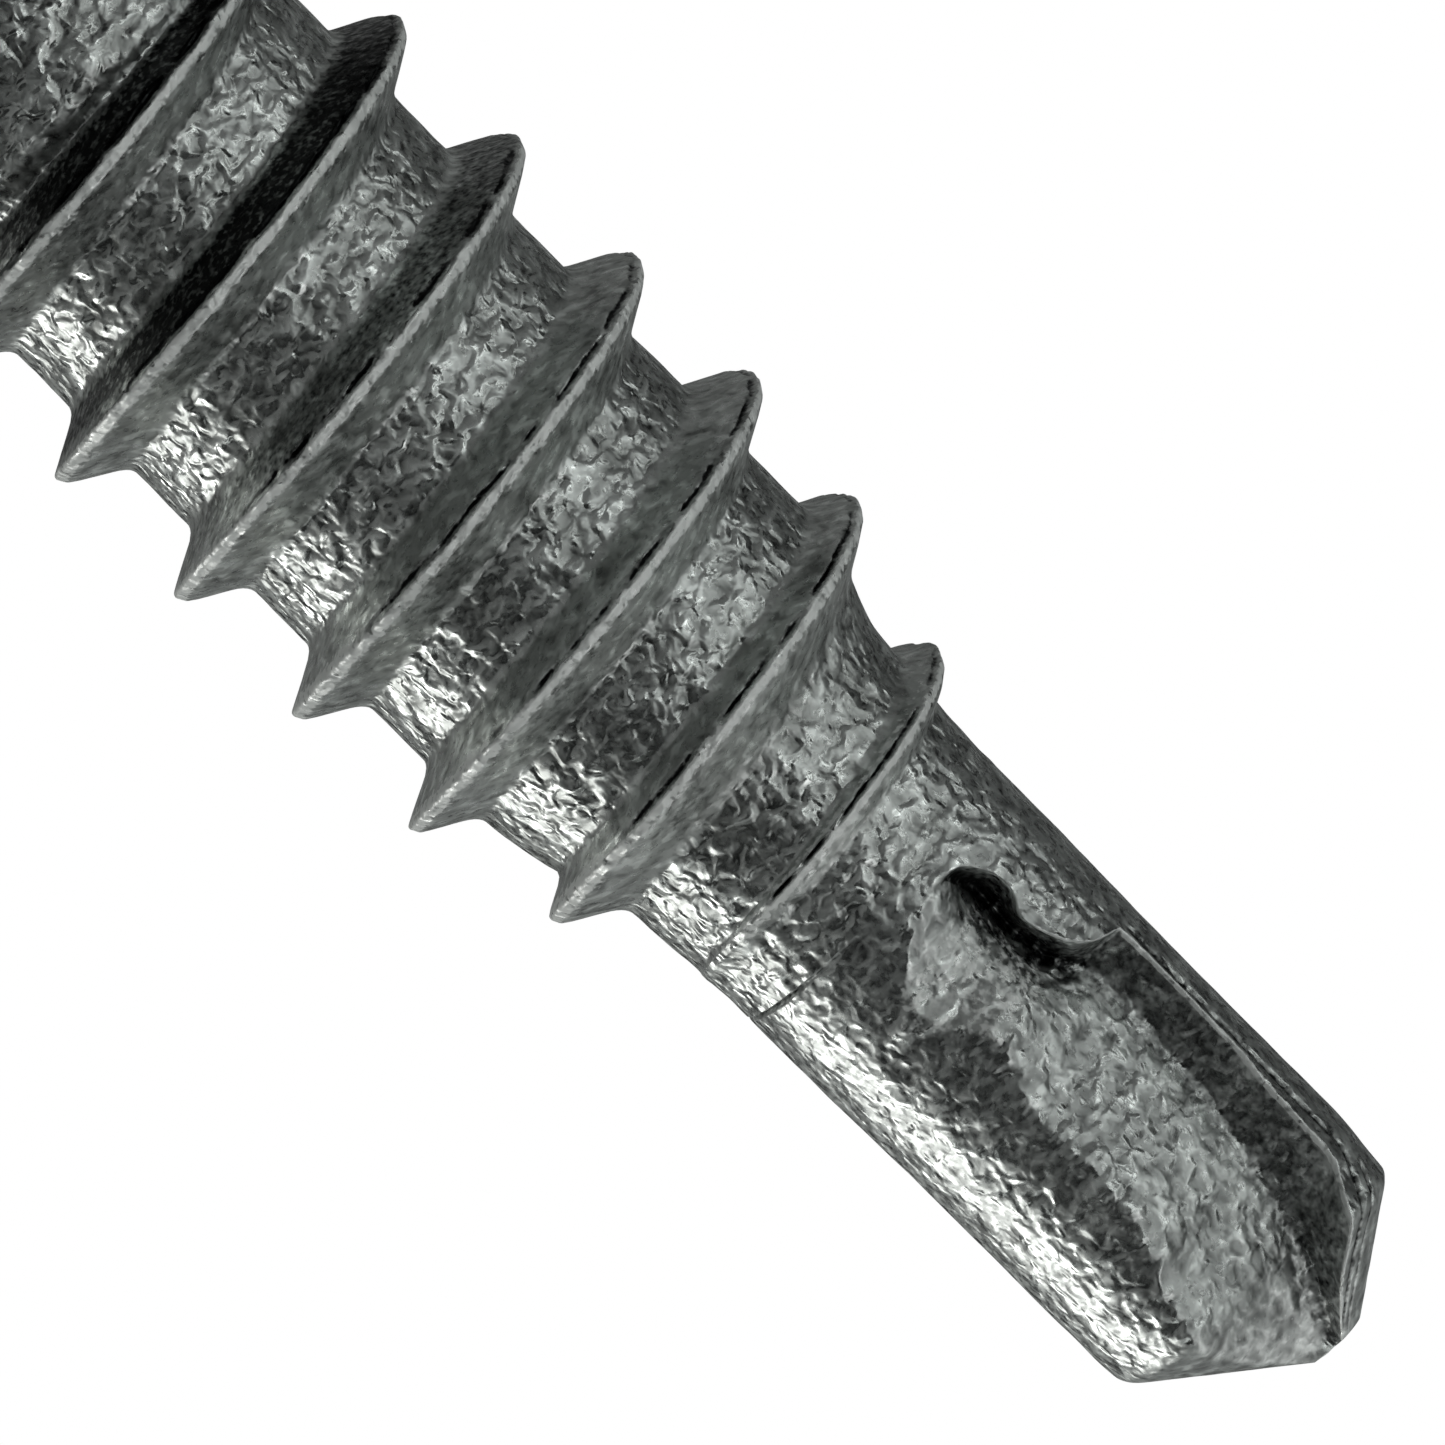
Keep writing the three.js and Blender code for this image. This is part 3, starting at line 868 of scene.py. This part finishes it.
def plated_steel(name, dark, light, worm_depth, roughness):
    """Zinc plating: glossy specks in a duller ground, over a wormy relief that is weaker on the
    thread's flanks, which the dies burnished, and on the head. An attribute on the mesh says where
    it is rubbed bright, where it carries a painted highlight, and where painted shade and the
    seam's dark joint darken it."""
    shader = Shader(name)
    place = shader.place()
    worms = shader.noise(place, 0.21, 1.4, 0.5, 0.3)
    fraying = shader.ramp(shader.noise(place, 0.08, 1.5), -0.5, 0.5, 0.25, 0.75)
    wear_and_painted_light = shader.maths("ADD", shader.attribute("wear_and_painted_light"), fraying)
    rubbed_and_highlight = shader.ramp(wear_and_painted_light, 0.0, 1.0, 0.35, 0.7)
    shaded = shader.ramp(wear_and_painted_light, 1.0, 0.0, -1.1, -0.2)
    # rubbed wear and painted highlights lighten the zinc
    bright = shader.mix(rubbed_and_highlight, zinc_colour(shader, place, worms, dark, light), RUBBED_AND_HIGHLIGHT_ZINC)
    # painted shade and the seam's dark joint darken it to near black
    shader.paint(shader.mix(shaded, bright, PAINTED_SHADE_AND_SEAM_DARK), "Base Color")
    shader.paint(shader.ramp(rubbed_and_highlight, 1.0, 0.3), "Metallic")
    steep = shader.steepness()
    specks = shader.ramp(shader.noise(place, 0.12, 1.5), roughness + 0.22, roughness, 0.42, 0.62)
    dull = shader.maths("ADD", specks, shader.ramp(steep, 0.0, 0.10, 0.1, 0.4))
    shader.paint(shader.maths("MAXIMUM", dull, shader.maths("MULTIPLY", rubbed_and_highlight, 0.42)), "Roughness")
    head = shader.ramp(shader.from_axis(), 1.0, 0.4, 3.2, 3.6)
    burnished = shader.maths("MULTIPLY", shader.ramp(steep, 1.0, 0.25, 0.45, 0.8), head)
    relief = shader.maths("MULTIPLY", shader.maths("SUBTRACT", worms, 0.5), burnished)
    shader.paint(shader.bump(relief, worm_depth), "Normal")
    return shader.material


def galvanised_steel():
    """Hot-dip sheet: pale crystals of uneven gloss under faint rolling lines."""
    shader = Shader("galvanised sheet")
    place = shader.place()
    crystals = shader.cells(place, 1.1)
    shader.paint(shader.mix(crystals, (0.46, 0.48, 0.49), (0.62, 0.64, 0.65)), "Base Color")
    shader.surface.inputs["Metallic"].default_value = 1.0
    speckle = shader.noise(place, 0.25, 3.0)
    shader.paint(shader.ramp(speckle, 0.3, 0.48, 0.3, 0.7), "Roughness")
    scratches = shader.noise(shader.place((6, 0.25, 1)), 0.35, 2.0)
    shader.paint(shader.bump(scratches, 0.002, shader.bump(speckle, 0.003)), "Normal")
    return shader.material


def black_rubber():
    """Moulded EPDM: matte black with a dusty bloom and a fine grain."""
    shader = Shader("moulded rubber")
    place = shader.place()
    dust = shader.ramp(shader.noise(place, 1.4, 5.0), 0.0, 1.0, 0.35, 0.75)
    shader.paint(shader.mix(dust, (0.012, 0.012, 0.013), (0.035, 0.035, 0.036)), "Base Color")
    grain = shader.noise(place, 0.09, 2.0)
    shader.paint(shader.ramp(grain, 0.55, 0.8, 0.3, 0.7), "Roughness")
    shader.surface.inputs["Specular IOR Level"].default_value = 0.35
    shader.paint(shader.bump(grain, 0.008), "Normal")
    return shader.material


# ---------------------------------------------------------------- camera, floor and light

TARGET = Vector((-0.15, 0.0, 21.12)) * MM
CAMERA_DISTANCE = 185 * MM
CAMERA_DROP = math.radians(6)
FRAME_WIDTH = 15.53 * MM
SENSOR = 36.0


def camera():
    """Looks along +Y from a little nearer the head, rolled so that the point is lower right."""
    forward = Vector((0, math.cos(CAMERA_DROP), math.sin(CAMERA_DROP)))
    along_screw = Vector((0, -math.sin(CAMERA_DROP), math.cos(CAMERA_DROP)))
    across = Vector((1, 0, 0))
    slant = math.sqrt(0.5)
    right = (along_screw - across) * slant
    up = (along_screw + across) * -slant
    rotation = Matrix((right, up, -forward)).transposed()
    data = bpy.data.cameras.new("camera")
    data.sensor_width = SENSOR
    data.lens = SENSOR * CAMERA_DISTANCE / FRAME_WIDTH
    data.clip_start = 0.001
    data.clip_end = 10
    made = bpy.data.objects.new("camera", data)
    made.matrix_world = Matrix.Translation(TARGET - forward * CAMERA_DISTANCE) @ rotation.to_4x4()
    bpy.context.collection.objects.link(made)
    bpy.context.scene.camera = made


FLOOR_HALF = 1500 * MM
FLOOR_SEEN = (0.86, 0.86, 0.86)
FLOOR_REFLECTED = (0.42, 0.42, 0.42)


def floor():
    """A plain pale floor, which reflections on the steel see duller than it is."""
    corners = [(-1, -1), (1, -1), (1, 1), (-1, 1)]
    mesh = bpy.data.meshes.new("floor")
    mesh.from_pydata([(x * FLOOR_HALF, y * FLOOR_HALF, 0) for x, y in corners], [], [(0, 1, 2, 3)])
    plane = bpy.data.objects.new("floor", mesh)
    bpy.context.collection.objects.link(plane)
    shader = Shader("pale floor")
    seen = shader.add("ShaderNodeLightPath").outputs["Is Camera Ray"]
    shader.paint(shader.mix(seen, FLOOR_REFLECTED, FLOOR_SEEN), "Base Color")
    shader.surface.inputs["Roughness"].default_value = 0.9
    mesh.materials.append(shader.material)


def panel(name, side, lift, distance, width, height, radiance, tint=(1, 1, 1)):
    """A soft panel light that faces the screw. side is degrees from the camera's side, growing
    towards -X."""
    turn, rise = math.radians(side), math.radians(lift)
    level = math.cos(rise)
    outward = Vector((-math.sin(turn) * level, -math.cos(turn) * level, math.sin(rise)))
    data = bpy.data.lights.new(name, "AREA")
    data.shape = "RECTANGLE"
    data.size = width * MM
    data.size_y = height * MM
    data.color = tint
    data.energy = radiance * math.pi * data.size * data.size_y
    lamp = bpy.data.objects.new(name, data)
    lamp.location = TARGET + outward * distance * MM
    lamp.rotation_mode = "QUATERNION"
    lamp.rotation_quaternion = outward.to_track_quat("Z", "Y")
    lamp.visible_camera = False
    bpy.context.collection.objects.link(lamp)


# How bright the room is at the screw's height, by degrees from the -Y side, growing towards -X.
ROOM_AZIMUTH = [
    (-180, 0.16), (-140, 0.18), (-124, 0.22), (-102, 0.55), (-78, 0.50), (-66, 0.04), (6, 0.015),
    (17, 0.60), (80, 0.60), (98, 0.04), (150, 0.06), (180, 0.12),
]
ROOM_TOP, ROOM_BOTTOM = 0.24, 0.02
ROOM_TINT = (0.96, 1.0, 0.985, 1)


def room_ring(room, x, y):
    """The brightness in ROOM_AZIMUTH, by direction round the screw."""
    left, near = room.maths("MULTIPLY", x, -1.0), room.maths("MULTIPLY", y, -1.0)
    azimuth = room.maths("ARCTAN2", left, near)
    ring = room.add("ShaderNodeValToRGB")
    stops = ring.color_ramp.elements
    while len(stops) < len(ROOM_AZIMUTH):
        stops.new(0.5)
    for stop, (degrees, level) in zip(stops, ROOM_AZIMUTH):
        stop.position = degrees / 360 + 0.5
        stop.color = (level, level, level, 1)
    room.join(room.maths("ADD", room.maths("DIVIDE", azimuth, TURN), 0.5), ring.inputs["Fac"])
    return ring.outputs["Color"]


def studio():
    """White behind the screw. The room has a soft wall of light on each side, a dark gap at the
    -Y side, and clutter that breaks the light up."""
    world = bpy.data.worlds.new("studio")
    bpy.context.scene.world = world
    world.use_nodes = True
    room = Nodes(world.node_tree)
    room.tree.nodes.clear()
    direction = room.add("ShaderNodeTexCoord").outputs["Generated"]
    parts = room.add("ShaderNodeSeparateXYZ")
    room.join(direction, parts.inputs[0])
    x, y, z = parts.outputs
    clutter = room.add("ShaderNodeTexNoise", Scale=6.0, Detail=1.0)
    room.join(direction, clutter.inputs["Vector"])
    broken = room.ramp(clutter.outputs["Fac"], 0.15, 2.9, 0.44, 0.62, smooth=True)
    level = room.maths("MULTIPLY", room_ring(room, x, y), broken)
    level = room.fade(level, ROOM_TOP, room.ramp(z, 0.0, 1.0, 0.45, 0.85, smooth=True))
    level = room.fade(level, ROOM_BOTTOM, room.ramp(z, 0.0, 1.0, -0.25, -0.6, smooth=True))
    walls = room.add("ShaderNodeBackground", Color=ROOM_TINT)
    room.join(level, walls.inputs["Strength"])
    backdrop = room.add("ShaderNodeBackground", Color=(1, 1, 1, 1))
    choose = room.add("ShaderNodeMixShader")
    room.join(room.add("ShaderNodeLightPath").outputs["Is Camera Ray"], choose.inputs[0])
    room.join(walls.outputs[0], choose.inputs[1])
    room.join(backdrop.outputs[0], choose.inputs[2])
    room.join(choose.outputs[0], room.add("ShaderNodeOutputWorld").inputs["Surface"])
    bpy.context.scene.view_settings.view_transform = "Standard"


def lights():
    panel("left_strip", side=-106, lift=6, distance=170, width=66, height=150, radiance=2.85,
          tint=(1.0, 1.0, 0.97))
    panel("front_top", side=8, lift=55, distance=190, width=110, height=90, radiance=0.8)
    panel("overhead", side=180, lift=84, distance=240, width=150, height=150, radiance=0.5)


# ---------------------------------------------------------------- the scene

camera()
floor()
studio()
lights()
headed_shank(plated_steel("zinc plated shank", dark=(0.45, 0.465, 0.45), light=(0.58, 0.60, 0.585),
                          worm_depth=0.095, roughness=0.17))
drill_point(plated_steel("zinc plated point", dark=(0.46, 0.475, 0.465), light=(0.58, 0.60, 0.585),
                         worm_depth=0.068, roughness=0.19))
cup_washer(galvanised_steel())
sealing_ring(black_rubber())
